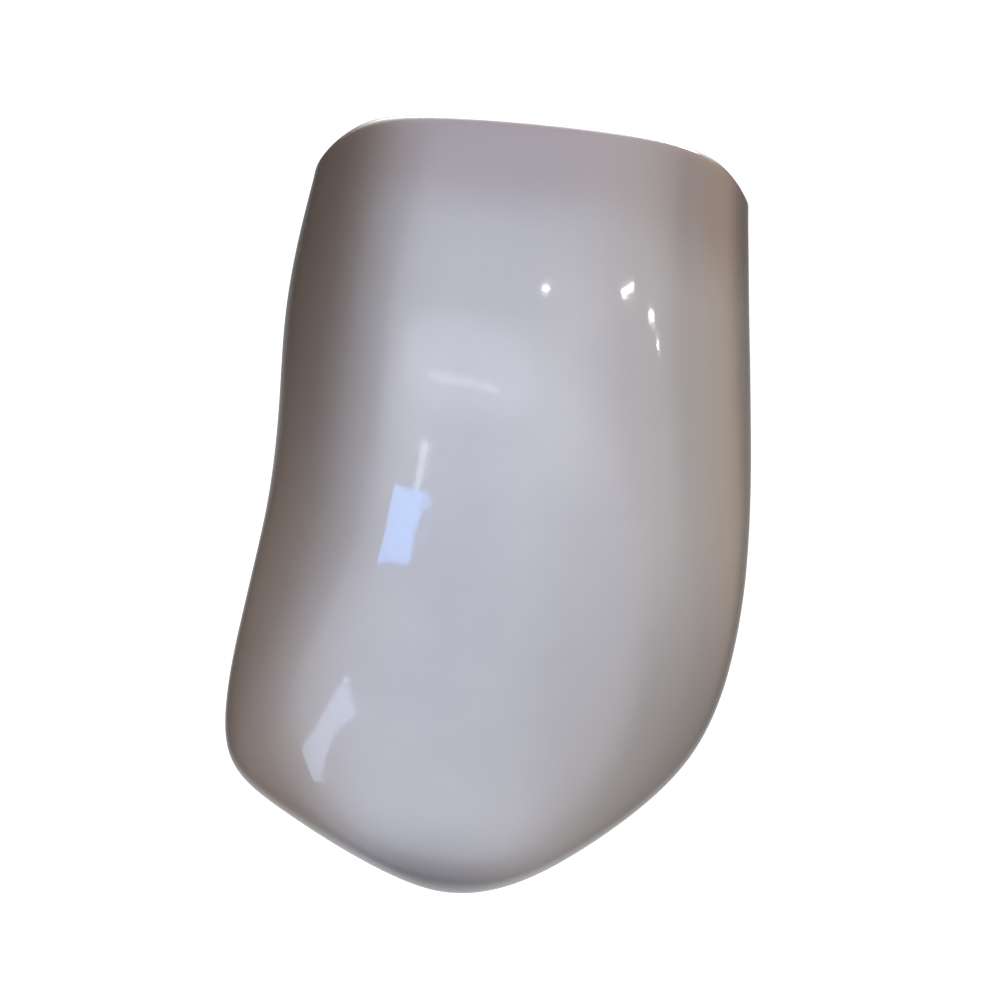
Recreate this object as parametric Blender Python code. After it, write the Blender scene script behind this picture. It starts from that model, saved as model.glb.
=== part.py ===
"""Ceramic dental crown for an upper left canine, one solid piece.

Metres, +Z up. The cusp points down and the margin with the cavity faces up.
-Y is labial (the lip side), +Y lingual, -X mesial and +X distal.
The origin is the centre of the flat seat at the bottom of the cavity.

The outer form is a loft. Two profile curves cross at the cusp tip: one runs from the
mesial margin to the distal margin, the other from the labial margin to the lingual one.
Each section is a closed ring through the four points that the curves give at one level.
The same loft turns in over the margin and goes down the cavity to its seat.
"""

import math

import bmesh
import bpy
import numpy as np

MM = 0.001

# Heights, in millimetres up from the cusp tip
CROWN_HEIGHT = 11.6
SEAT_HEIGHT = 4.8
MESIAL_CONTACT_HEIGHT = 2.0
DISTAL_CONTACT_HEIGHT = 5.2
MID_HEIGHT = 5.3

# How far the margin dips below its labial height, in millimetres
MESIAL_DIP = 1.05
DISTAL_DIP = 0.95
LINGUAL_DIP = 1.0

# Crests of curvature, in millimetres below the labial margin
LABIAL_CREST_DROP = 2.8
SIDE_CREST_DROP = 3.1
CINGULUM_DROP = 3.4

# Reaches from the middle of the neck, in millimetres
NECK_WIDTH = 6.4
NECK_DEPTH = 6.95
MESIAL_CONTACT_REACH = 3.7
DISTAL_CONTACT_REACH = 3.72
MESIAL_SIDE_REACH = 3.45
DISTAL_SIDE_REACH = 3.45
LABIAL_CREST_REACH = 4.05
CINGULUM_REACH = 3.95
LABIAL_MID_REACH = 3.65
LINGUAL_MID_REACH = 1.95

# Cusp tip and incisal edge, in millimetres
TIP_MESIAL_OFFSET = 0.2
TIP_LABIAL_OFFSET = 1.2
TIP_ROUND_REACH = 0.9
TIP_ROUND_RISE = 0.2
EDGE_ROUND_REACH = 0.58
EDGE_ROUND_RISE = 0.22
EDGE_THICKNESS = 2.1
EDGE_HEIGHT = 1.1
MESIAL_SLOPE_REACH = 2.7
MESIAL_SLOPE_HEIGHT = 0.97
DISTAL_SLOPE_REACH = 2.2
DISTAL_SLOPE_HEIGHT = 1.27
DISTAL_CORNER_REACH = 3.3
DISTAL_CORNER_HEIGHT = 2.65
LOW_LABIAL_REACH = 2.95
LOW_LINGUAL_REACH = 0.65
LOW_HEIGHT = 3.05

# Margin and cavity, in millimetres
RIM_WIDTH = 0.28
RIM_ROUNDING = 0.12
RIM_STRAIGHT = 0.3
SHOULDER_WIDTH = 0.6
SHOULDER_DROP = 0.55
SHOULDER_ROUNDING = 0.35
SEAT_WIDTH = 3.6
SEAT_DEPTH = 2.7
SEAT_LABIAL_OFFSET = 0.9
SEAT_ROUNDING = 0.5
KNEE_HEIGHT = 7.5
KNEE_LINGUAL_REACH = 2.3
KNEE_ROUNDING = 0.9

# Section form: 0 is an ellipse, more is squarer
LABIAL_SQUARENESS = 0.17
LINGUAL_SQUARENESS = 0.2
MESIAL_EXTRA_SQUARENESS = 0.05
LINGUAL_NARROWING = 0.13

# Share of that form at the seat, and how many times faster than the level it grows at the tip
SEAT_FULLNESS = 0.6
TIP_FULLNESS_RATE = 3.0

# Power of the height's fall from mid labial to the sides: 2 is even, more is squarer
EVEN_FALL = 2.0
MARGIN_FALL = 6.0

# Surface features as (x, height, half width, half length, depth), in millimetres
LABIAL_FURROWS = ((-0.75, 3.2, 0.55, 2.4, 0.04), (1.45, 3.4, 0.7, 2.5, 0.07))
LINGUAL_FOSSAE = ((-1.4, 4.2, 0.8, 1.9, 0.62), (1.3, 4.4, 0.85, 1.9, 0.66))

# Facets. The rings crowd towards the tip by this power, and a rounding takes at most this
# share of the straight runs beside it.
AROUND = 60
OUTER_RINGS = 32
RING_CROWDING = 1.35
ROUNDING_STEPS = 3
WALL_STEPS = 4
ROUNDING_SHARE = 0.45
SHARP_EDGE_DEGREES = 50.0

# Finish
CERAMIC_COLOUR = (0.5, 0.49, 0.53, 1.0)
GLAZE_ROUGHNESS = 0.12

# Directions round a ring: across is 1 at distal, along is 1 at lingual
ANGLES = np.linspace(0.0, 2.0 * math.pi, AROUND, endpoint=False)
ACROSS = np.cos(ANGLES)
ALONG = np.sin(ANGLES)


def natural_spline(knots, values):
    """Return the natural cubic spline through the values at the knots."""
    gaps = np.diff(knots)
    steps = np.diff(values) / gaps
    count = len(knots)
    matrix = np.eye(count)
    right = np.zeros(count)
    for i in range(1, count - 1):
        matrix[i, i - 1:i + 2] = gaps[i - 1], 2.0 * (gaps[i - 1] + gaps[i]), gaps[i]
        right[i] = 6.0 * (steps[i] - steps[i - 1])
    bend = np.linalg.solve(matrix, right)

    def evaluate(t):
        i = int(np.clip(np.searchsorted(knots, t) - 1, 0, count - 2))
        ahead = knots[i + 1] - t
        behind = t - knots[i]
        gap = gaps[i]
        cubic = (bend[i] * ahead ** 3 + bend[i + 1] * behind ** 3) / (6.0 * gap)
        left_end = (values[i] / gap - bend[i] * gap / 6.0) * ahead
        right_end = (values[i + 1] / gap - bend[i + 1] * gap / 6.0) * behind
        return cubic + left_end + right_end

    return evaluate


def outline_points():
    """Points of the four half profiles, from the cusp tip to the margin, as (reach, height)."""
    side_crest = CROWN_HEIGHT - SIDE_CREST_DROP
    mesial = [
        (-TIP_MESIAL_OFFSET, 0.0),
        (-TIP_MESIAL_OFFSET - TIP_ROUND_REACH, TIP_ROUND_RISE),
        (-MESIAL_SLOPE_REACH, MESIAL_SLOPE_HEIGHT),
        (-MESIAL_CONTACT_REACH, MESIAL_CONTACT_HEIGHT),
        (-MESIAL_SIDE_REACH, MID_HEIGHT),
        (-MESIAL_SIDE_REACH, side_crest),
        (-NECK_WIDTH / 2.0, CROWN_HEIGHT - MESIAL_DIP),
    ]
    distal = [
        (-TIP_MESIAL_OFFSET, 0.0),
        (-TIP_MESIAL_OFFSET + TIP_ROUND_REACH, TIP_ROUND_RISE),
        (DISTAL_SLOPE_REACH, DISTAL_SLOPE_HEIGHT),
        (DISTAL_CORNER_REACH, DISTAL_CORNER_HEIGHT),
        (DISTAL_CONTACT_REACH, DISTAL_CONTACT_HEIGHT),
        (DISTAL_SIDE_REACH, side_crest),
        (NECK_WIDTH / 2.0, CROWN_HEIGHT - DISTAL_DIP),
    ]
    labial = [
        (-TIP_LABIAL_OFFSET, 0.0),
        (-TIP_LABIAL_OFFSET - EDGE_ROUND_REACH, EDGE_ROUND_RISE),
        (-TIP_LABIAL_OFFSET - EDGE_THICKNESS / 2.0, EDGE_HEIGHT),
        (-LOW_LABIAL_REACH, LOW_HEIGHT),
        (-LABIAL_MID_REACH, MID_HEIGHT),
        (-LABIAL_CREST_REACH, CROWN_HEIGHT - LABIAL_CREST_DROP),
        (-NECK_DEPTH / 2.0, CROWN_HEIGHT),
    ]
    lingual = [
        (-TIP_LABIAL_OFFSET, 0.0),
        (-TIP_LABIAL_OFFSET + EDGE_ROUND_REACH, EDGE_ROUND_RISE),
        (-TIP_LABIAL_OFFSET + EDGE_THICKNESS / 2.0, EDGE_HEIGHT),
        (LOW_LINGUAL_REACH, LOW_HEIGHT),
        (LINGUAL_MID_REACH, MID_HEIGHT),
        (CINGULUM_REACH, CROWN_HEIGHT - CINGULUM_DROP),
        (NECK_DEPTH / 2.0, CROWN_HEIGHT - LINGUAL_DIP),
    ]
    return mesial, distal, labial, lingual


def outer_profiles():
    """Return a function that gives the four profile points at a level, and the last level."""
    halves = [np.array(points) for points in outline_points()]
    chords = [np.linalg.norm(np.diff(points, axis=0), axis=1) for points in halves]
    levels = np.concatenate([[0.0], np.cumsum(np.mean(chords, axis=0))])
    knots = np.concatenate([-levels[:0:-1], levels])
    splines = []
    for near, far in ((halves[0], halves[1]), (halves[2], halves[3])):
        points = np.vstack([near[:0:-1], far])
        splines.append([natural_spline(knots, points[:, axis]) for axis in (0, 1)])

    def at(level):
        result = []
        for reach, height in splines:
            result.append((reach(-level), height(-level)))
            result.append((reach(level), height(level)))
        return result

    return at, levels[-1]


def smooth_step(value):
    """Rise smoothly from 0 to 1 as the value goes from 0 to 1."""
    value = min(max(value, 0.0), 1.0)
    return value * value * (3.0 - 2.0 * value)


def ring(profile_points, fullness, fall):
    """Close a ring through four profile points.

    Fullness is the share of the section's squareness and narrowing that the ring takes, and
    fall is the power with which its height drops from mid labial to the sides.
    """
    (mesial, mesial_z), (distal, distal_z), (labial, labial_z), (lingual, lingual_z) = profile_points
    squareness = (LABIAL_SQUARENESS + LINGUAL_SQUARENESS) / 2.0
    squareness = squareness + (LINGUAL_SQUARENESS - LABIAL_SQUARENESS) / 2.0 * ALONG
    squareness = fullness * (squareness - MESIAL_EXTRA_SQUARENESS * ACROSS)
    narrowing = 1.0 - LINGUAL_NARROWING * fullness * ALONG * (1.0 + ALONG) / 2.0
    x = ACROSS * (1.0 + squareness * ALONG ** 2) * narrowing
    y = ALONG * (1.0 + squareness * ACROSS ** 2)
    x = (mesial + distal) / 2.0 + (distal - mesial) / 2.0 * x
    y = (labial + lingual) / 2.0 + (lingual - labial) / 2.0 * y
    front_to_back = (labial_z + lingual_z) / 2.0 + (lingual_z - labial_z) / 2.0 * ALONG
    side_fall = (mesial_z + distal_z) / 2.0 - front_to_back
    z = front_to_back + side_fall * np.abs(ACROSS) ** fall
    z = z + (distal_z - mesial_z) / 2.0 * ACROSS ** 3
    return np.column_stack([x, y, z])


def hollow_out(points):
    """Press the labial furrows and the lingual fossae into an outer ring."""
    x, y, z = points.T
    for features, side in ((LABIAL_FURROWS, -1.0), (LINGUAL_FOSSAE, 1.0)):
        on_side = side * ALONG > 0.0
        for centre_x, height, half_width, half_length, depth in features:
            spread = ((x - centre_x) / half_width) ** 2 + ((z - height) / half_length) ** 2
            y = y - side * np.where(on_side, depth * np.exp(-spread), 0.0)
    return np.column_stack([x, y, z])


def outer_rings():
    """Rings of the outer surface from the cusp tip to just short of the margin."""
    profiles, last_level = outer_profiles()
    last_level -= RIM_STRAIGHT
    rings = []
    for i in range(1, OUTER_RINGS + 1):
        share = i / OUTER_RINGS
        level = last_level * share ** RING_CROWDING
        fall = EVEN_FALL + (MARGIN_FALL - EVEN_FALL) * smooth_step(share)
        fullness = smooth_step(TIP_FULLNESS_RATE * share)
        rings.append(hollow_out(ring(profiles(level), fullness, fall)))
    return rings


def rounded_corner(before, corner, after, setback):
    """Points of a curve that leaves the path a setback before the corner and joins it after."""
    to_before, to_after = before - corner, after - corner
    length_before, length_after = np.linalg.norm(to_before), np.linalg.norm(to_after)
    setback = min(setback, ROUNDING_SHARE * length_before, ROUNDING_SHARE * length_after)
    start = corner + to_before * setback / length_before
    end = corner + to_after * setback / length_after
    points = []
    for i in range(ROUNDING_STEPS + 1):
        share = i / ROUNDING_STEPS
        points.append(start * (1.0 - share) ** 2 + corner * 2.0 * share * (1.0 - share) + end * share ** 2)
    return points


def wall_points(start, end):
    """Points that divide a straight stretch of wall, without its two ends."""
    return [start + (end - start) * i / WALL_STEPS for i in range(1, WALL_STEPS)]


def cavity_profile(below, margin, outward, seat_middle, seat_edge, knee_reach):
    """One profile from the margin over the rim and shoulder, down the wall to the seat.

    Without a knee reach the knee lies on the straight line from the shoulder to the seat.
    """
    rim = margin - outward * np.array([RIM_WIDTH, 0.0])
    shoulder = rim - np.array([outward * SHOULDER_WIDTH, SHOULDER_DROP])
    if knee_reach is None:
        wall_share = (shoulder[1] - KNEE_HEIGHT) / (shoulder[1] - SEAT_HEIGHT)
        knee_reach = shoulder[0] + (seat_edge - shoulder[0]) * wall_share
    knee = np.array([knee_reach, KNEE_HEIGHT])
    seat = np.array([seat_edge, SEAT_HEIGHT])
    middle = np.array([seat_middle, SEAT_HEIGHT])
    points = rounded_corner(below, margin, rim, RIM_ROUNDING)
    points += rounded_corner(margin, rim, shoulder, RIM_ROUNDING)
    points += rounded_corner(rim, shoulder, knee, SHOULDER_ROUNDING)
    for corner, after, rounding, before in (
        (knee, seat, KNEE_ROUNDING, shoulder),
        (seat, middle, SEAT_ROUNDING, knee),
    ):
        arc = rounded_corner(before, corner, after, rounding)
        points += wall_points(points[-1], arc[0]) + arc
    return points


def cavity_rings():
    """Rings of the rim, the shoulder, the wall and the seat's edge."""
    profiles, last_level = outer_profiles()
    below = np.array(profiles(last_level - RIM_STRAIGHT))
    margin = np.array(profiles(last_level))
    seat_y = -SEAT_LABIAL_OFFSET
    sides = (
        (-1.0, 0.0, -SEAT_WIDTH / 2.0, None),
        (1.0, 0.0, SEAT_WIDTH / 2.0, None),
        (-1.0, seat_y, seat_y - SEAT_DEPTH / 2.0, None),
        (1.0, seat_y, seat_y + SEAT_DEPTH / 2.0, KNEE_LINGUAL_REACH),
    )
    columns = [cavity_profile(below[i], margin[i], *side) for i, side in enumerate(sides)]
    rings = []
    for k, profile_points in enumerate(zip(*columns)):
        share = k / (len(columns[0]) - 1)
        fall = MARGIN_FALL + (EVEN_FALL - MARGIN_FALL) * smooth_step(share)
        rings.append(ring(profile_points, 1.0 + (SEAT_FULLNESS - 1.0) * share, fall))
    return rings


def build_crown(collection):
    """Loft the rings into one closed solid, with the tip at one end and the seat at the other."""
    shift = np.array([0.0, SEAT_LABIAL_OFFSET, -SEAT_HEIGHT])
    tip = np.array([-TIP_MESIAL_OFFSET, -TIP_LABIAL_OFFSET, 0.0])
    solid = bmesh.new()
    tip_vertex = solid.verts.new((tip + shift) * MM)
    loops = []
    for points in outer_rings() + cavity_rings():
        loops.append([solid.verts.new(point) for point in (points + shift) * MM])
    for i in range(AROUND):
        j = (i + 1) % AROUND
        solid.faces.new((tip_vertex, loops[0][j], loops[0][i]))
        for lower, upper in zip(loops, loops[1:]):
            solid.faces.new((lower[i], lower[j], upper[j], upper[i]))
    solid.faces.new(loops[-1])
    bmesh.ops.recalc_face_normals(solid, faces=solid.faces)
    mesh = bpy.data.meshes.new("crown")
    solid.to_mesh(mesh)
    solid.free()
    mesh.shade_smooth()
    mesh.set_sharp_from_angle(angle=math.radians(SHARP_EDGE_DEGREES))
    crown = bpy.data.objects.new("crown", mesh)
    collection.objects.link(crown)
    return crown


def ceramic():
    """Glazed ceramic, cool light grey."""
    material = bpy.data.materials.new("glazed_ceramic")
    material.use_nodes = True
    shader = material.node_tree.nodes["Principled BSDF"]
    shader.inputs["Base Color"].default_value = CERAMIC_COLOUR
    shader.inputs["Roughness"].default_value = GLAZE_ROUGHNESS
    shader.inputs["Metallic"].default_value = 0.0
    return material


def main():
    for old in list(bpy.data.objects):
        bpy.data.objects.remove(old, do_unlink=True)
    collection = bpy.data.collections.new("ceramic_dental_crown")
    bpy.context.scene.collection.children.link(collection)
    crown = build_crown(collection)
    crown.data.materials.append(ceramic())


main()
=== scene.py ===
"""Looks of the ceramic dental crown: a finer mesh of the solid's form, glazed outside.

Metres, +Z up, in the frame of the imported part; sizes of the form are given in millimetres.
The cusp points down and the margin faces up. -Y is labial (the lip side), +Y lingual, -X mesial
and +X distal.
"""

import math

import bmesh
import bpy
import numpy as np
from mathutils import Matrix, Vector


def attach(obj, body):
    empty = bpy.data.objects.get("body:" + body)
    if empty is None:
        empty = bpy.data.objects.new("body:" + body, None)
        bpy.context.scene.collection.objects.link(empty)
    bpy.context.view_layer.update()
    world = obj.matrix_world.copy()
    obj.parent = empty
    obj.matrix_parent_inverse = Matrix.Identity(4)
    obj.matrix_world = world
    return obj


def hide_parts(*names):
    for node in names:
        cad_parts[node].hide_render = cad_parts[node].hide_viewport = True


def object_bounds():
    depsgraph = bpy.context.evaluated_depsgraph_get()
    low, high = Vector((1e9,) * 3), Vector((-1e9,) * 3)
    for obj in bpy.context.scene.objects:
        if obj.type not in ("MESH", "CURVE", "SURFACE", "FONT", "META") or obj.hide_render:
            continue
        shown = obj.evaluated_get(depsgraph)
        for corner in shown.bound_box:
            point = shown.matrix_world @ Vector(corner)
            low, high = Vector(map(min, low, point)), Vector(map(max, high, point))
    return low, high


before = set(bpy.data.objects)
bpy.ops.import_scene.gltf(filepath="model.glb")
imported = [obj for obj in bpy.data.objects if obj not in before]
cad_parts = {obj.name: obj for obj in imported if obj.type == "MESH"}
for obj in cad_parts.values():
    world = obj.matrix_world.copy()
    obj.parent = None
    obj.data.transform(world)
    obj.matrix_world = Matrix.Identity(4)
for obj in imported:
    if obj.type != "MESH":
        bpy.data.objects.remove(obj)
cad_low, cad_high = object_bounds()

MM = 0.001

# Heights, in millimetres up from the cusp tip
CROWN_HEIGHT = (cad_high.z - cad_low.z) / MM
SEAT_HEIGHT = -cad_low.z / MM
MESIAL_CONTACT_HEIGHT = 2.0
DISTAL_CONTACT_HEIGHT = 5.2
MID_HEIGHT = 5.3

# How far the margin dips below its labial height, in millimetres
MESIAL_DIP = 1.05
DISTAL_DIP = 0.95
LINGUAL_DIP = 1.0

# Crests of curvature, in millimetres below the labial margin
LABIAL_CREST_DROP = 2.8
SIDE_CREST_DROP = 3.1
CINGULUM_DROP = 3.4

# Reaches from the middle of the neck, in millimetres
NECK_WIDTH = 6.4
NECK_DEPTH = 6.95
MESIAL_CONTACT_REACH = 3.7
DISTAL_CONTACT_REACH = 3.72
MESIAL_SIDE_REACH = 3.45
DISTAL_SIDE_REACH = 3.45
LABIAL_CREST_REACH = 4.05
CINGULUM_REACH = 3.95
LABIAL_MID_REACH = 3.65
LINGUAL_MID_REACH = 1.95

# Cusp tip and incisal edge, in millimetres
TIP_MESIAL_OFFSET = 0.2
TIP_LABIAL_OFFSET = 1.2
TIP_ROUND_REACH = 0.9
TIP_ROUND_RISE = 0.2
EDGE_ROUND_REACH = 0.58
EDGE_ROUND_RISE = 0.22
EDGE_THICKNESS = 2.1
EDGE_HEIGHT = 1.1
MESIAL_SLOPE_REACH = 2.7
MESIAL_SLOPE_HEIGHT = 0.97
DISTAL_SLOPE_REACH = 2.2
DISTAL_SLOPE_HEIGHT = 1.27
DISTAL_CORNER_REACH = 3.3
DISTAL_CORNER_HEIGHT = 2.65
LOW_LABIAL_REACH = 2.95
LOW_LINGUAL_REACH = 0.65
LOW_HEIGHT = 3.05

# Margin and cavity, in millimetres
RIM_WIDTH = 0.28
RIM_ROUNDING = 0.12
RIM_STRAIGHT = 0.3
SHOULDER_WIDTH = 0.6
SHOULDER_DROP = 0.55
SHOULDER_ROUNDING = 0.35
SEAT_WIDTH = 3.6
SEAT_DEPTH = 2.7
SEAT_LABIAL_OFFSET = 0.9
SEAT_ROUNDING = 0.5
KNEE_HEIGHT = 7.5
KNEE_LINGUAL_REACH = 2.3
KNEE_ROUNDING = 0.9

# Section form: a squareness of 0 is an ellipse, and the narrowing is a share of the width
LABIAL_SQUARENESS = 0.12
LINGUAL_SQUARENESS = 0.2
MESIAL_EXTRA_SQUARENESS = 0.05
LINGUAL_NARROWING = 0.13

# Line angles beside the labial face: their direction in degrees from distal through lingual,
# at the tip and at the margin, their swell as a share of the reach there, and their half width
LINE_ANGLES = (((229.0, 241.0), (0.032, 0.08), 15.5), ((310.0, 312.0), (0.03, 0.034), 17.5))

# Share of that form at the seat, and its growth from the tip: at 3 it is full after a third of
# the rings
SEAT_FULLNESS = 0.6
TIP_FULLNESS_RATE = 3.0

# Power of the height's fall from mid labial to the sides: 2 is even, more is squarer
EVEN_FALL = 2.0
MARGIN_FALL = 6.0

# Surface features as (x, height, half width, half length, depth), in millimetres
LABIAL_FURROWS = ((1.45, 3.4, 0.7, 2.5, 0.07),)
LINGUAL_FOSSAE = ((-1.4, 4.2, 0.8, 1.9, 0.62), (1.3, 4.4, 0.85, 1.9, 0.66))

# Fineness of the visible mesh. The rings crowd towards the tip by this power, and a rounding
# takes at most this share of the straight runs beside it.
AROUND = 320
OUTER_RINGS = 200
RING_CROWDING = 1.35
ROUNDING_STEPS = 7
WALL_STEPS = 16
ROUNDING_SHARE = 0.45

# Unevenness of the fired surface as (waves in x, y and z per millimetre, half their height in
# millimetres)
GLAZE_WAVES = (
    ((0.31, 0.17, 0.12), 0.0015),
    ((-0.22, 0.35, 0.27), 0.0012),
    ((0.55, -0.4, 0.33), 0.0012),
    ((0.15, 0.62, -0.71), 0.0008),
)

# Camera: the photograph looks a little down on the crown, whose axis leans to the right. Angles
# are in degrees, the lens and the frame in millimetres and the clipping in metres.
CAMERA_ELEVATION = 6.0
CAMERA_LEAN = 5.8
CAMERA_LENS = 200.0
FRAME_HEIGHT_MM = 15.0
CLIP_START = 0.001
CLIP_END = 10.0

# Stage, in metres: the floor's depth below the crown and the sizes of its sweep
FLOOR_DEPTH = 0.11
SWEEP_FLAT_RADIUS = 0.35
SWEEP_CURVE_RADIUS = 0.2
SWEEP_WALL_HEIGHT = 0.5
MERGE_DISTANCE = 0.00001
SWEEP_STEPS = 16
SPIN_STEPS = 96
FLOOR_COLOUR = (0.8, 0.8, 0.81, 1.0)
FLOOR_ROUGHNESS = 0.8
FLOOR_GLOW = (0.95, 0.96, 1.0, 1.0)
FLOOR_GLOW_STRENGTH = 0.5

# The studio's even light at the horizon, straight above and straight below
HORIZON_LIGHT = (0.05, 0.043, 0.038, 1.0)
OVERHEAD_LIGHT = (0.35, 0.35, 0.36, 1.0)
UNDER_LIGHT = (0.1, 0.09, 0.085, 1.0)

# Heights of a direction, from -1 straight below to 1 straight above, between which the light
# from above and from below comes in
OVERHEAD_RANGE = (0.05, 0.9)
UNDER_RANGE = (-0.25, -1.0)

# Soft-edged glows as (azimuth, elevation, full within, gone beyond, light), in degrees. Azimuth
# 0 is in front of the lip side and 90 is distal.
GLOWS = (
    (-15.0, -60.0, 5.0, 40.0, (0.32, 0.31, 0.31)),
    (0.0, -30.0, 5.0, 40.0, (1.0, 1.08, 1.25)),
    (0.0, 0.0, 5.0, 40.0, (1.05, 1.1, 1.2)),
    (38.0, 0.0, 5.0, 40.0, (0.62, 0.6, 0.56)),
    (38.0, 30.0, 5.0, 40.0, (0.2, 0.15, 0.12)),
    (115.0, 10.0, 5.0, 40.0, (0.44, 0.3, 0.18)),
    (-146.0, 46.0, 5.0, 40.0, (2.0, 1.98, 1.95)),
    (180.0, 48.0, 5.0, 42.0, (3.2, 3.2, 3.3)),
    (180.0, -35.0, 5.0, 40.0, (0.6, 0.6, 0.62)),
    (-3.0, -6.0, 2.0, 13.0, (0.7, 0.76, 0.95)),
    (-2.6, -10.9, 0.2, 1.2, (1.9, 1.9, 2.1)),
)

# Lamps that the glaze mirrors, as (name, azimuth, elevation, width, height, roll, distance in
# metres, radiance, colour), the angles in degrees as seen from the crown
LAMPS = (
    ("window", -11.5, -30.5, 7.2, 5.6, -9.0, 0.12, 6.8, (0.18, 0.44, 1.0)),
    ("window_edge", -7.0, -24.7, 0.9, 7.0, -21.6, 0.12, 4.0, (0.8, 0.88, 1.0)),
    ("card", -20.2, -50.1, 16.0, 3.4, 25.4, 0.12, 3.2, (0.6, 0.72, 1.0)),
    ("rim_light", 148.0, 42.0, 24.0, 12.0, 0.0, 0.25, 12.0, (1.0, 0.96, 0.92)),
    ("spark_a", 9.3, 13.1, 1.4, 0.7, 0.0, 0.3, 60.0, (1.0, 0.98, 0.95)),
    ("spark_b", 37.5, 13.6, 4.6, 0.9, 11.0, 0.3, 60.0, (1.0, 0.98, 0.95)),
    ("spark_c", 49.6, 9.9, 3.0, 0.9, -7.0, 0.3, 50.0, (1.0, 0.98, 0.95)),
    ("spark_d", 53.4, 6.5, 1.2, 1.2, 0.0, 0.3, 45.0, (1.0, 0.98, 0.95)),
)

# Tints and painted shade over the ceramic's body as (levels, flanks, most, colour). Each grows smoothly
# from nothing at the first value of a pair to its most at the second. Level is 0 at the tip and 1 at
# the margin. Flank is -1 at mesial and 1 at distal, and fades to 0 at the tip and partly on the
# lingual side. None stands for everywhere. Most rows darken the ceramic as painted shade: on the
# flanks, at the neck and its corners, and on the distal corner near the tip.
TINTS_AND_PAINTED_SHADE = (
    ((0.45, 0.1), None, 0.5, (0.585, 0.57, 0.59, 1.0)),
    # Greyer tip: the ceramic's translucency, and painted shade where the tip turns under
    ((0.22, 0.07), None, 0.9, (0.28, 0.262, 0.265, 1.0)),
    # Darker, warmer neck: the ceramic's cervical tone, and painted shade under the gum
    ((0.915, 0.985), None, 0.65, (0.43, 0.36, 0.385, 1.0)),
    # Painted shade: the mesial flank darker where it turns away from the light
    (None, (-0.2, -0.75), 0.6, (0.5, 0.465, 0.45, 1.0)),
    # Painted shade and painted reflection: the mesial flank brown, as shaded by a neighbouring tooth
    (None, (-0.35, -0.95), 0.8, (0.37, 0.27, 0.2, 1.0)),
    # Painted shade: the mesial neck corner darkest, as under the gum beside a neighbour
    ((0.55, 0.95), (-0.4, -0.85), 0.8, (0.22, 0.165, 0.135, 1.0)),
    # Warmer, darker distal side: the ceramic's proximal tone, and painted shade where it turns away
    (None, (-0.15, 0.95), 0.85, (0.51, 0.46, 0.408, 1.0)),
    # Painted shade: the distal neck corner darker, as under the gum
    ((0.85, 0.97), (0.25, 0.8), 0.7, (0.33, 0.265, 0.24, 1.0)),
    # Painted shade: the distal corner near the tip darker, where it faces down and away
    ((0.65, 0.28), (0.25, 0.95), 0.75, (0.33, 0.295, 0.265, 1.0)),
)

# How far the flank's tints and painted shade fade on the lingual side
LINGUAL_FADE = 0.7

# The ceramic and its coat of glaze. The light scatters within half a millimetre.
CERAMIC_IOR = 1.5
SCATTER_SHARE = 0.3
SCATTER_RADIUS = (1.0, 0.9, 0.8)
SCATTER_SCALE = 0.5 * MM
COAT_SHARE = 0.5
COAT_ROUGHNESS = 0.02
GLAZE_ROUGHNESS = (0.04, 0.09)
CAVITY_ROUGHNESS = (0.5, 0.72)

# Patterns as (lumps per millimetre, detail, roughness of the noise)
CLOUDS = (0.45, 2.0, 0.5)
FLECKS = (2.6, 3.0, 0.5)
SMUDGES = (1.1, 3.0, 0.5)
RIPPLES = (3.5, 2.0, 0.5)
GRAINS = (22.0, 3.0, 0.6)
PATCHES = (1.3, 3.0, 0.5)

# Noise values between which a pattern goes from its least to its most
CLOUD_RANGE = (0.35, 0.65)
FLECK_RANGE = (0.45, 0.7)
SMUDGE_RANGE = (0.3, 0.7)
PATCH_RANGE = (0.35, 0.65)
GRAIN_RANGE = (0.4, 0.65)
GRAIN_ROUGHNESS_RANGE = (0.3, 0.7)

# Colours of the body, its flecks and the cavity, and the least and most share of each pattern
BODY_COLOURS = ((0.55, 0.545, 0.59, 1.0), (0.59, 0.58, 0.62, 1.0))
FLECK_COLOUR = (0.66, 0.65, 0.67, 1.0)
FLECK_SHARES = (0.0, 0.1)
CAVITY_COLOURS = ((0.5, 0.495, 0.485, 1.0), (0.57, 0.56, 0.55, 1.0))
GRAIN_COLOUR = (0.43, 0.42, 0.41, 1.0)
GRAIN_SHARES = (0.0, 0.35)

# Heights of the glaze's ripple and of the cavity's grain as bump, in metres
RIPPLE_HEIGHT = 0.0000015
GRAIN_HEIGHT = 0.000008

# Directions round a ring: across is 1 at distal, along is 1 at lingual
ANGLES = np.linspace(0.0, 2.0 * math.pi, AROUND, endpoint=False)
ACROSS = np.cos(ANGLES)
ALONG = np.sin(ANGLES)


def natural_spline(knots, values):
    """Return the natural cubic spline through the values at the knots."""
    gaps = np.diff(knots)
    steps = np.diff(values) / gaps
    count = len(knots)
    matrix = np.eye(count)
    right = np.zeros(count)
    for i in range(1, count - 1):
        matrix[i, i - 1:i + 2] = gaps[i - 1], 2.0 * (gaps[i - 1] + gaps[i]), gaps[i]
        right[i] = 6.0 * (steps[i] - steps[i - 1])
    bend = np.linalg.solve(matrix, right)

    def evaluate(t):
        i = int(np.clip(np.searchsorted(knots, t) - 1, 0, count - 2))
        ahead = knots[i + 1] - t
        behind = t - knots[i]
        gap = gaps[i]
        cubic = (bend[i] * ahead ** 3 + bend[i + 1] * behind ** 3) / (6.0 * gap)
        left_end = (values[i] / gap - bend[i] * gap / 6.0) * ahead
        right_end = (values[i + 1] / gap - bend[i + 1] * gap / 6.0) * behind
        return cubic + left_end + right_end

    return evaluate


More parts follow.
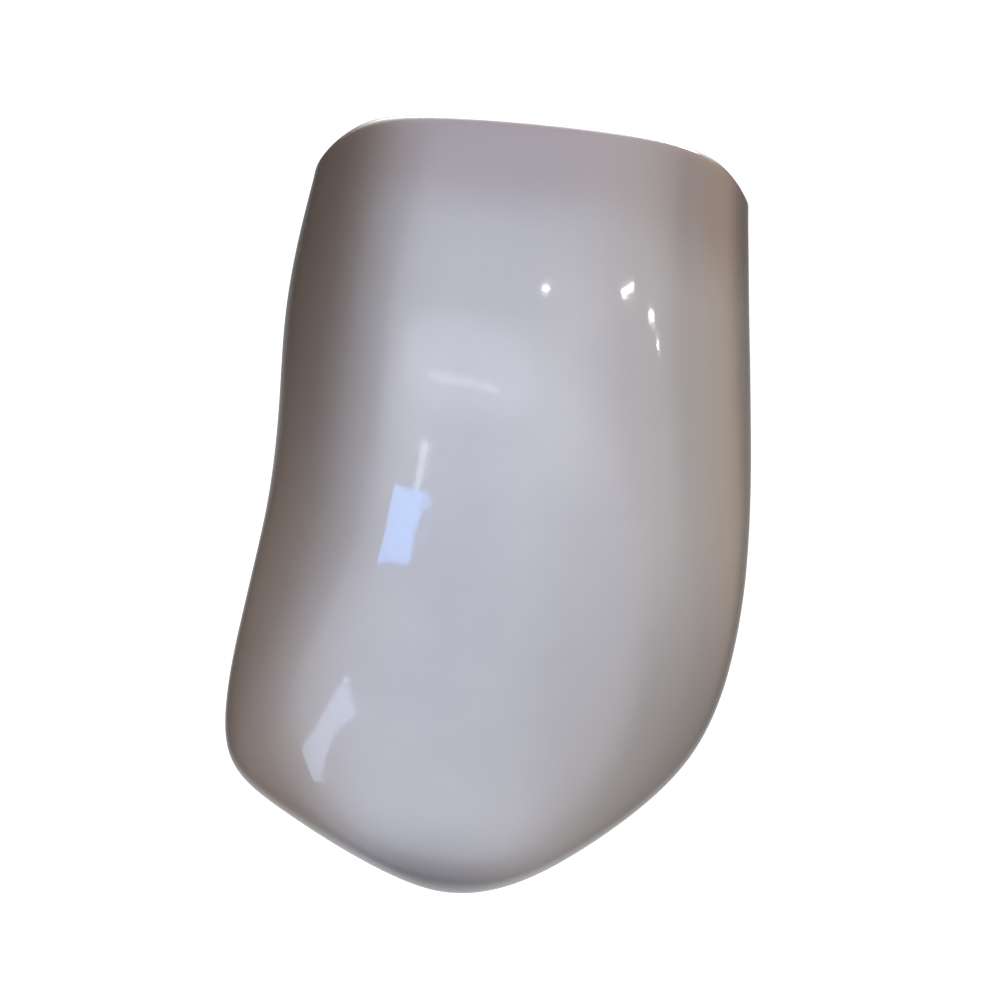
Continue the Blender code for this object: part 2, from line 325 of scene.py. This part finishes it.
def outline_points():
    """Points of the four half profiles, from the cusp tip to the margin, as (reach, height)."""
    side_crest = CROWN_HEIGHT - SIDE_CREST_DROP
    mesial = [
        (-TIP_MESIAL_OFFSET, 0.0),
        (-TIP_MESIAL_OFFSET - TIP_ROUND_REACH, TIP_ROUND_RISE),
        (-MESIAL_SLOPE_REACH, MESIAL_SLOPE_HEIGHT),
        (-MESIAL_CONTACT_REACH, MESIAL_CONTACT_HEIGHT),
        (-MESIAL_SIDE_REACH, MID_HEIGHT),
        (-MESIAL_SIDE_REACH, side_crest),
        (-NECK_WIDTH / 2.0, CROWN_HEIGHT - MESIAL_DIP),
    ]
    distal = [
        (-TIP_MESIAL_OFFSET, 0.0),
        (-TIP_MESIAL_OFFSET + TIP_ROUND_REACH, TIP_ROUND_RISE),
        (DISTAL_SLOPE_REACH, DISTAL_SLOPE_HEIGHT),
        (DISTAL_CORNER_REACH, DISTAL_CORNER_HEIGHT),
        (DISTAL_CONTACT_REACH, DISTAL_CONTACT_HEIGHT),
        (DISTAL_SIDE_REACH, side_crest),
        (NECK_WIDTH / 2.0, CROWN_HEIGHT - DISTAL_DIP),
    ]
    labial = [
        (-TIP_LABIAL_OFFSET, 0.0),
        (-TIP_LABIAL_OFFSET - EDGE_ROUND_REACH, EDGE_ROUND_RISE),
        (-TIP_LABIAL_OFFSET - EDGE_THICKNESS / 2.0, EDGE_HEIGHT),
        (-LOW_LABIAL_REACH, LOW_HEIGHT),
        (-LABIAL_MID_REACH, MID_HEIGHT),
        (-LABIAL_CREST_REACH, CROWN_HEIGHT - LABIAL_CREST_DROP),
        (-NECK_DEPTH / 2.0, CROWN_HEIGHT),
    ]
    lingual = [
        (-TIP_LABIAL_OFFSET, 0.0),
        (-TIP_LABIAL_OFFSET + EDGE_ROUND_REACH, EDGE_ROUND_RISE),
        (-TIP_LABIAL_OFFSET + EDGE_THICKNESS / 2.0, EDGE_HEIGHT),
        (LOW_LINGUAL_REACH, LOW_HEIGHT),
        (LINGUAL_MID_REACH, MID_HEIGHT),
        (CINGULUM_REACH, CROWN_HEIGHT - CINGULUM_DROP),
        (NECK_DEPTH / 2.0, CROWN_HEIGHT - LINGUAL_DIP),
    ]
    return mesial, distal, labial, lingual


def outer_profiles():
    """Return a function that gives the four profile points at a level, and the last level."""
    halves = [np.array(points) for points in outline_points()]
    chords = [np.linalg.norm(np.diff(points, axis=0), axis=1) for points in halves]
    levels = np.concatenate([[0.0], np.cumsum(np.mean(chords, axis=0))])
    knots = np.concatenate([-levels[:0:-1], levels])
    splines = []
    for near, far in ((halves[0], halves[1]), (halves[2], halves[3])):
        points = np.vstack([near[:0:-1], far])
        splines.append([natural_spline(knots, points[:, axis]) for axis in (0, 1)])

    def at(level):
        result = []
        for reach, height in splines:
            result.append((reach(-level), height(-level)))
            result.append((reach(level), height(level)))
        return result

    return at, levels[-1]


def smooth_step(value):
    """Rise smoothly from 0 to 1 as the value goes from 0 to 1."""
    value = min(max(value, 0.0), 1.0)
    return value * value * (3.0 - 2.0 * value)


def ring(profile_points, fullness, fall):
    """Close a ring through four profile points.

    Fullness is the share of the section's squareness and narrowing that the ring takes, and
    fall is the power with which its height drops from mid labial to the sides.
    """
    (mesial, mesial_z), (distal, distal_z), (labial, labial_z), (lingual, lingual_z) = profile_points
    squareness = (LABIAL_SQUARENESS + LINGUAL_SQUARENESS) / 2.0
    squareness = squareness + (LINGUAL_SQUARENESS - LABIAL_SQUARENESS) / 2.0 * ALONG
    squareness = fullness * (squareness - MESIAL_EXTRA_SQUARENESS * ACROSS)
    narrowing = 1.0 - LINGUAL_NARROWING * fullness * ALONG * (1.0 + ALONG) / 2.0
    x = ACROSS * (1.0 + squareness * ALONG ** 2) * narrowing
    y = ALONG * (1.0 + squareness * ACROSS ** 2)
    x = (mesial + distal) / 2.0 + (distal - mesial) / 2.0 * x
    y = (labial + lingual) / 2.0 + (lingual - labial) / 2.0 * y
    front_to_back = (labial_z + lingual_z) / 2.0 + (lingual_z - labial_z) / 2.0 * ALONG
    side_fall = (mesial_z + distal_z) / 2.0 - front_to_back
    z = front_to_back + side_fall * np.abs(ACROSS) ** fall
    z = z + (distal_z - mesial_z) / 2.0 * ACROSS ** 3
    return np.column_stack([x, y, z])


def hollow_out(points):
    """Press the labial furrows and the lingual fossae into an outer ring."""
    x, y, z = points.T
    for features, side in ((LABIAL_FURROWS, -1.0), (LINGUAL_FOSSAE, 1.0)):
        on_side = side * ALONG > 0.0
        for centre_x, height, half_width, half_length, depth in features:
            spread = ((x - centre_x) / half_width) ** 2 + ((z - height) / half_length) ** 2
            y = y - side * np.where(on_side, depth * np.exp(-spread), 0.0)
    return np.column_stack([x, y, z])


def swell_line_angles(points, share, amount):
    """Push a ring out at its line angles, where the labial face turns into the flanks."""
    swell = np.zeros(len(points))
    for (tip_at, margin_at), (tip_swell, margin_swell), width in LINE_ANGLES:
        centre = tip_at + (margin_at - tip_at) * share
        height = tip_swell + (margin_swell - tip_swell) * share
        swell += height * np.exp(-((np.degrees(ANGLES) - centre) / width) ** 2)
    outward = points - points.mean(axis=0)
    outward[:, 2] = 0.0
    return points + outward * (amount * swell)[:, None]


def outer_rings():
    """Rings of the outer surface from the cusp tip to just short of the margin."""
    profiles, last_level = outer_profiles()
    last_level -= RIM_STRAIGHT
    rings = []
    for i in range(1, OUTER_RINGS + 1):
        share = i / OUTER_RINGS
        level = last_level * share ** RING_CROWDING
        fall = EVEN_FALL + (MARGIN_FALL - EVEN_FALL) * smooth_step(share)
        fullness = smooth_step(TIP_FULLNESS_RATE * share)
        points = hollow_out(ring(profiles(level), fullness, fall))
        rings.append(swell_line_angles(points, share, fullness))
    return rings


def rounded_corner(before, corner, after, setback):
    """Points of a curve that leaves the path a setback before the corner and joins it after."""
    to_before, to_after = before - corner, after - corner
    length_before, length_after = np.linalg.norm(to_before), np.linalg.norm(to_after)
    setback = min(setback, ROUNDING_SHARE * length_before, ROUNDING_SHARE * length_after)
    start = corner + to_before * setback / length_before
    end = corner + to_after * setback / length_after
    points = []
    for i in range(ROUNDING_STEPS + 1):
        share = i / ROUNDING_STEPS
        points.append(start * (1.0 - share) ** 2 + corner * 2.0 * share * (1.0 - share) + end * share ** 2)
    return points


def wall_points(start, end):
    """Points that divide a straight stretch of wall, without its two ends."""
    return [start + (end - start) * i / WALL_STEPS for i in range(1, WALL_STEPS)]


def cavity_profile(below, margin, outward, seat_middle, seat_edge, knee_reach):
    """One profile from the margin over the rim and shoulder, down the wall to the seat.

    Without a knee reach the knee lies on the straight line from the shoulder to the seat.
    """
    rim = margin - outward * np.array([RIM_WIDTH, 0.0])
    shoulder = rim - np.array([outward * SHOULDER_WIDTH, SHOULDER_DROP])
    if knee_reach is None:
        wall_share = (shoulder[1] - KNEE_HEIGHT) / (shoulder[1] - SEAT_HEIGHT)
        knee_reach = shoulder[0] + (seat_edge - shoulder[0]) * wall_share
    knee = np.array([knee_reach, KNEE_HEIGHT])
    seat = np.array([seat_edge, SEAT_HEIGHT])
    middle = np.array([seat_middle, SEAT_HEIGHT])
    points = rounded_corner(below, margin, rim, RIM_ROUNDING)
    points += rounded_corner(margin, rim, shoulder, RIM_ROUNDING)
    points += rounded_corner(rim, shoulder, knee, SHOULDER_ROUNDING)
    for corner, after, rounding, before in (
        (knee, seat, KNEE_ROUNDING, shoulder),
        (seat, middle, SEAT_ROUNDING, knee),
    ):
        arc = rounded_corner(before, corner, after, rounding)
        points += wall_points(points[-1], arc[0]) + arc
    return points


def cavity_rings():
    """Rings of the rim, the shoulder, the wall and the seat's edge."""
    profiles, last_level = outer_profiles()
    below = np.array(profiles(last_level - RIM_STRAIGHT))
    margin = np.array(profiles(last_level))
    seat_y = -SEAT_LABIAL_OFFSET
    sides = (
        (-1.0, 0.0, -SEAT_WIDTH / 2.0, None),
        (1.0, 0.0, SEAT_WIDTH / 2.0, None),
        (-1.0, seat_y, seat_y - SEAT_DEPTH / 2.0, None),
        (1.0, seat_y, seat_y + SEAT_DEPTH / 2.0, KNEE_LINGUAL_REACH),
    )
    columns = [cavity_profile(below[i], margin[i], *side) for i, side in enumerate(sides)]
    rings = []
    for k, profile_points in enumerate(zip(*columns)):
        share = k / (len(columns[0]) - 1)
        fall = MARGIN_FALL + (EVEN_FALL - MARGIN_FALL) * smooth_step(share)
        points = ring(profile_points, 1.0 + (SEAT_FULLNESS - 1.0) * share, fall)
        rings.append(swell_line_angles(points, 1.0, 1.0 - smooth_step(share)))
    return rings


def fired_unevenness(points):
    """Press a ring in by the few micrometres that a fired glaze is uneven."""
    most = sum(half_height for _, half_height in GLAZE_WAVES)
    swell = np.zeros(len(points))
    for waves, half_height in GLAZE_WAVES:
        swell += half_height * np.sin(2.0 * math.pi * points @ np.array(waves))
    outward = points - points.mean(axis=0)
    outward[:, 2] = 0.0
    reach = np.linalg.norm(outward, axis=1)
    return points + outward * ((swell - most) / reach)[:, None]


def build_crown():
    """Loft the fine rings into one closed mesh. Faces past the rim take the second material.

    The glaze ends with the second of the rim's two rounded corners. Two attributes at the
    mesh's points place the tints and the painted shade: the level from tip to margin, and the flank.
    """
    shift = np.array([0.0, SEAT_LABIAL_OFFSET, -SEAT_HEIGHT])
    tip = np.array([-TIP_MESIAL_OFFSET, -TIP_LABIAL_OFFSET, 0.0])
    outside = [fired_unevenness(points) for points in outer_rings()]
    inside = cavity_rings()
    last_glazed_ring = len(outside) + 2 * ROUNDING_STEPS
    solid = bmesh.new()
    level_layer = solid.verts.layers.float.new("level")
    flank_layer = solid.verts.layers.float.new("flank")
    tip_vertex = solid.verts.new((tip + shift) * MM)
    loops = []
    for k, points in enumerate(outside + inside):
        loop = []
        share = min(1.0, (k + 1) / len(outside))
        fullness = smooth_step(TIP_FULLNESS_RATE * share)
        for point, across, along in zip((points + shift) * MM, ACROSS, ALONG):
            vertex = solid.verts.new(point)
            vertex[level_layer] = share ** RING_CROWDING
            vertex[flank_layer] = across * fullness * (1.0 - LINGUAL_FADE * smooth_step(along))
            loop.append(vertex)
        loops.append(loop)
    seat_vertex = solid.verts.new((0.0, 0.0, 0.0))
    for i in range(AROUND):
        j = (i + 1) % AROUND
        solid.faces.new((tip_vertex, loops[0][j], loops[0][i]))
        for k, (lower, upper) in enumerate(zip(loops, loops[1:])):
            face = solid.faces.new((lower[i], lower[j], upper[j], upper[i]))
            face.material_index = int(k > last_glazed_ring)
        solid.faces.new((loops[-1][i], loops[-1][j], seat_vertex)).material_index = 1
    bmesh.ops.recalc_face_normals(solid, faces=solid.faces)
    mesh = bpy.data.meshes.new("glazed_crown")
    solid.to_mesh(mesh)
    solid.free()
    mesh.shade_smooth()
    crown = bpy.data.objects.new("glazed_crown", mesh)
    bpy.context.scene.collection.objects.link(crown)
    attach(crown, "root")
    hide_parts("crown")
    return crown


def new_material(name, **values):
    """A material with a Principled shader, whose sockets are set by name."""
    material = bpy.data.materials.new(name)
    material.use_nodes = True
    shader = material.node_tree.nodes["Principled BSDF"]
    for socket, value in values.items():
        shader.inputs[socket.replace("_", " ")].default_value = value
    return material, material.node_tree, shader


def node(tree, kind, inputs=(), **settings):
    """Add a node, set its properties and its inputs. An input is a value or another socket."""
    made = tree.nodes.new(kind)
    for name, value in settings.items():
        setattr(made, name, value)
    for key, value in dict(inputs).items():
        if isinstance(value, bpy.types.NodeSocket):
            tree.links.new(value, made.inputs[key])
        else:
            made.inputs[key].default_value = value
    return made


def millimetres(tree):
    """The surface's own coordinates in millimetres, for textures at the real scale."""
    place = node(tree, "ShaderNodeTexCoord").outputs["Object"]
    return node(tree, "ShaderNodeVectorMath", {0: place, "Scale": 1.0 / MM}, operation="SCALE").outputs[0]


def noise(tree, place, per_mm, detail, roughness):
    """Soft noise around 0.5, with so many lumps to the millimetre."""
    inputs = {"Vector": place, "Scale": per_mm, "Detail": detail, "Roughness": roughness}
    return node(tree, "ShaderNodeTexNoise", inputs).outputs["Fac"]


def attribute(tree, name):
    """A number stored at the mesh's points."""
    return node(tree, "ShaderNodeAttribute", attribute_name=name).outputs["Fac"]


def math_node(tree, operation, *values):
    """The result of one sum."""
    return node(tree, "ShaderNodeMath", dict(enumerate(values)), operation=operation).outputs[0]


def ramp(tree, value, low, high, to_low=0.0, to_high=1.0):
    """Map a value smoothly from one range to another, held at both ends."""
    inputs = {"Value": value, "From Min": low, "From Max": high, "To Min": to_low, "To Max": to_high}
    return node(tree, "ShaderNodeMapRange", inputs, interpolation_type="SMOOTHSTEP").outputs["Result"]


def mix(tree, share, first, second):
    """Blend two colours."""
    made = node(tree, "ShaderNodeMix", data_type="RGBA")
    for socket, value in (("Factor_Float", share), ("A_Color", first), ("B_Color", second)):
        target = next(s for s in made.inputs if s.identifier == socket)
        if isinstance(value, bpy.types.NodeSocket):
            tree.links.new(value, target)
        else:
            target.default_value = value
    return next(s for s in made.outputs if s.identifier == "Result_Color")


def bump(tree, height, size):
    """A bump whose height input of 0 to 1 stands for a real size in metres."""
    return node(tree, "ShaderNodeBump", {"Height": height, "Distance": size, "Strength": 1.0}).outputs[0]


def glazed_material():
    """Glazed ceramic: a cool grey body, darker at the edge and warmer at the neck and flanks, the
    darkening there partly painted shade.
    """
    material, tree, shader = new_material(
        "glazed_ceramic",
        IOR=CERAMIC_IOR,
        Subsurface_Weight=SCATTER_SHARE,
        Subsurface_Radius=SCATTER_RADIUS,
        Subsurface_Scale=SCATTER_SCALE,
        Coat_Weight=COAT_SHARE,
        Coat_Roughness=COAT_ROUGHNESS,
        Coat_IOR=CERAMIC_IOR,
    )
    place = millimetres(tree)
    level = attribute(tree, "level")
    flank = attribute(tree, "flank")
    clouds = noise(tree, place, *CLOUDS)
    flecks = noise(tree, place, *FLECKS)
    colour = mix(tree, ramp(tree, clouds, *CLOUD_RANGE), *BODY_COLOURS)
    colour = mix(tree, ramp(tree, flecks, *FLECK_RANGE, *FLECK_SHARES), colour, FLECK_COLOUR)
    # Tints and painted shade laid over the body, each masked by level and flank
    for levels, flanks, most, tint_or_shade in TINTS_AND_PAINTED_SHADE:
        share = most
        for place_along, limits in ((level, levels), (flank, flanks)):
            if limits:
                share = math_node(tree, "MULTIPLY", share, ramp(tree, place_along, *limits))
        colour = mix(tree, share, colour, tint_or_shade)
    tree.links.new(colour, shader.inputs["Base Color"])
    smudges = ramp(tree, noise(tree, place, *SMUDGES), *SMUDGE_RANGE, *GLAZE_ROUGHNESS)
    tree.links.new(smudges, shader.inputs["Roughness"])
    ripples = bump(tree, noise(tree, place, *RIPPLES), RIPPLE_HEIGHT)
    tree.links.new(ripples, shader.inputs["Normal"])
    return material


def etched_material():
    """The unglazed cavity: a dry, blasted surface with a fine grain."""
    material, tree, shader = new_material("etched_ceramic", IOR=CERAMIC_IOR)
    place = millimetres(tree)
    grains = noise(tree, place, *GRAINS)
    patches = noise(tree, place, *PATCHES)
    colour = mix(tree, ramp(tree, patches, *PATCH_RANGE), *CAVITY_COLOURS)
    colour = mix(tree, ramp(tree, grains, *GRAIN_RANGE, *GRAIN_SHARES), colour, GRAIN_COLOUR)
    tree.links.new(colour, shader.inputs["Base Color"])
    dryness = ramp(tree, grains, *GRAIN_ROUGHNESS_RANGE, *CAVITY_ROUGHNESS)
    tree.links.new(dryness, shader.inputs["Roughness"])
    tree.links.new(bump(tree, grains, GRAIN_HEIGHT), shader.inputs["Normal"])
    return material


def stage_floor():
    """A plain pale floor under the hanging crown, which sweeps up all round into a wall.

    The crown neither mirrors it nor takes light or shade from it.
    """
    material, _, _ = new_material(
        "pale_floor",
        Base_Color=FLOOR_COLOUR,
        Roughness=FLOOR_ROUGHNESS,
        Emission_Color=FLOOR_GLOW,
        Emission_Strength=FLOOR_GLOW_STRENGTH,
    )
    profile = [(0.0, 0.0), (SWEEP_FLAT_RADIUS, 0.0)]
    for i in range(1, SWEEP_STEPS + 1):
        turn = math.pi / 2.0 * i / SWEEP_STEPS
        reach = SWEEP_FLAT_RADIUS + SWEEP_CURVE_RADIUS * math.sin(turn)
        profile.append((reach, SWEEP_CURVE_RADIUS * (1.0 - math.cos(turn))))
    profile.append((SWEEP_FLAT_RADIUS + SWEEP_CURVE_RADIUS, SWEEP_WALL_HEIGHT))
    solid = bmesh.new()
    points = [solid.verts.new((reach, 0.0, height)) for reach, height in profile]
    edges = [solid.edges.new(pair) for pair in zip(points, points[1:])]
    bmesh.ops.spin(
        solid,
        geom=points + edges,
        cent=(0.0, 0.0, 0.0),
        axis=(0.0, 0.0, 1.0),
        angle=2.0 * math.pi,
        steps=SPIN_STEPS,
        use_merge=True,
    )
    bmesh.ops.remove_doubles(solid, verts=solid.verts, dist=MERGE_DISTANCE)
    mesh = bpy.data.meshes.new("floor")
    solid.to_mesh(mesh)
    solid.free()
    mesh.shade_smooth()
    mesh.materials.append(material)
    floor = bpy.data.objects.new("floor", mesh)
    floor.location = (0.0, 0.0, -FLOOR_DEPTH)
    floor.visible_glossy = False
    floor.visible_diffuse = False
    floor.visible_shadow = False
    bpy.context.scene.collection.objects.link(floor)


def area_lamp(name, azimuth, elevation, width, height, roll, distance, radiance, colour):
    """An area light that faces the crown and that the camera doesn't see.

    Azimuth 0 is in front of the lip side and goes up towards distal. Width and height are those
    of the light as seen from the crown, in degrees.
    """
    light = bpy.data.lights.new(name, "AREA")
    light.shape = "RECTANGLE"
    light.size = 2.0 * distance * math.tan(math.radians(width) / 2.0)
    light.size_y = 2.0 * distance * math.tan(math.radians(height) / 2.0)
    light.energy = radiance * math.pi * light.size * light.size_y
    light.color = colour
    lamp = bpy.data.objects.new(name, light)
    out = toward(azimuth, elevation)
    facing = out.to_track_quat("Z", "Y").to_matrix().to_4x4()
    rolled = Matrix.Rotation(math.radians(roll), 4, "Z")
    lamp.matrix_world = Matrix.Translation(out * distance) @ facing @ rolled
    lamp.visible_camera = False
    bpy.context.scene.collection.objects.link(lamp)


def make_camera():
    """The photograph's view: from the labial side, a little from above, with the crown leaning."""
    data = bpy.data.cameras.new("camera")
    data.lens = CAMERA_LENS
    data.clip_start = CLIP_START
    data.clip_end = CLIP_END
    camera = bpy.data.objects.new("camera", data)
    centre = (cad_low + cad_high) / 2.0
    rise, lean = math.radians(CAMERA_ELEVATION), math.radians(CAMERA_LEAN)
    back = Vector((0.0, -math.cos(rise), math.sin(rise)))
    up = Matrix.Rotation(lean, 3, back) @ Vector((0.0, math.sin(rise), math.cos(rise)))
    right = up.cross(back)
    distance = FRAME_HEIGHT_MM * MM / 2.0 / (data.sensor_width / 2.0 / data.lens)
    camera.matrix_world = Matrix.Translation(centre + back * distance) @ Matrix(
        (right, up, back)
    ).transposed().to_4x4()
    bpy.context.scene.collection.objects.link(camera)
    bpy.context.scene.camera = camera


def toward(azimuth, elevation):
    """Unit vector from the crown. Azimuth 0 is in front of the lip side, 90 is distal."""
    turn, rise = math.radians(azimuth), math.radians(elevation)
    return Vector((math.sin(turn) * math.cos(rise), -math.cos(turn) * math.cos(rise), math.sin(rise)))


def glow(tree, direction, colour, azimuth, elevation, inner, outer, light):
    """Add a soft-edged glow to the world's light, full within one angle and gone beyond another."""
    inputs = {0: direction, 1: toward(azimuth, elevation)}
    aim = node(tree, "ShaderNodeVectorMath", inputs, operation="DOT_PRODUCT")
    limits = math.cos(math.radians(outer)), math.cos(math.radians(inner))
    inputs = {0: ramp(tree, aim.outputs["Value"], *limits), 1: light, 2: colour}
    return node(tree, "ShaderNodeVectorMath", inputs, operation="MULTIPLY_ADD").outputs[0]


def light_the_scene():
    """Light the studio evenly, add its glows, and hang the lamps that the glaze mirrors."""
    world = bpy.data.worlds.new("studio")
    world.use_nodes = True
    tree = world.node_tree
    direction = node(tree, "ShaderNodeTexCoord").outputs["Generated"]
    height = node(tree, "ShaderNodeSeparateXYZ", {"Vector": direction}).outputs["Z"]
    colour = mix(tree, ramp(tree, height, *OVERHEAD_RANGE), HORIZON_LIGHT, OVERHEAD_LIGHT)
    colour = mix(tree, ramp(tree, height, *UNDER_RANGE), colour, UNDER_LIGHT)
    for glow_values in GLOWS:
        colour = glow(tree, direction, colour, *glow_values)
    tree.links.new(colour, tree.nodes["Background"].inputs["Color"])
    bpy.context.scene.world = world
    for lamp_values in LAMPS:
        area_lamp(*lamp_values)


bpy.context.scene.view_settings.view_transform = "Standard"
make_camera()
light_the_scene()
stage_floor()
crown = build_crown()
crown.data.materials.append(glazed_material())
crown.data.materials.append(etched_material())
